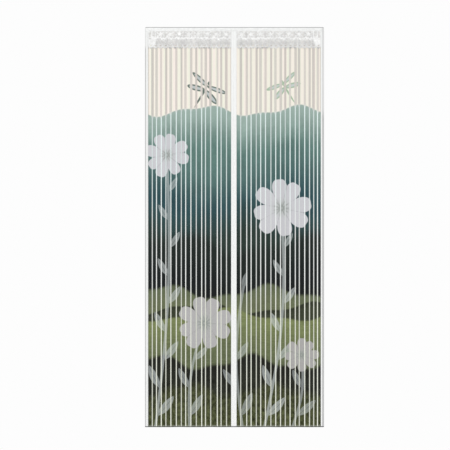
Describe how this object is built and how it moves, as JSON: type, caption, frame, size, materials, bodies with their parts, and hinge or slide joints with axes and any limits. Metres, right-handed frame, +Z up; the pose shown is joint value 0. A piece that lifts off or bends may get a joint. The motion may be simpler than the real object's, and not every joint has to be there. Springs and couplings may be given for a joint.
{
  "type": "magnetic screen door curtain",
  "caption": "Door curtain of striped net in a left and a right panel, bound in folded tape and hung from a heading tape with a scalloped lace valance; the panels meet edge to edge at a parting.",
  "frame": {"origin": "middle of the top edge, by which the curtain is held", "axes": "+Z up along the height, +X to the right as seen from the front, +Y to the back"},
  "size_m": [0.895, 0.014, 2],
  "materials": {
    "net": "matte woven net",
    "tape": "plain woven tape",
    "lace": "matte lace"
  },
  "bodies": {
    "root": {"heading_tape": "tape", "net_left": "net", "net_right": "net", "lace_left": "lace", "lace_right": "lace", "side_tape_left": "tape", "side_tape_right": "tape", "centre_tape_left": "tape", "centre_tape_right": "tape"}
  },
  "joints": []
}
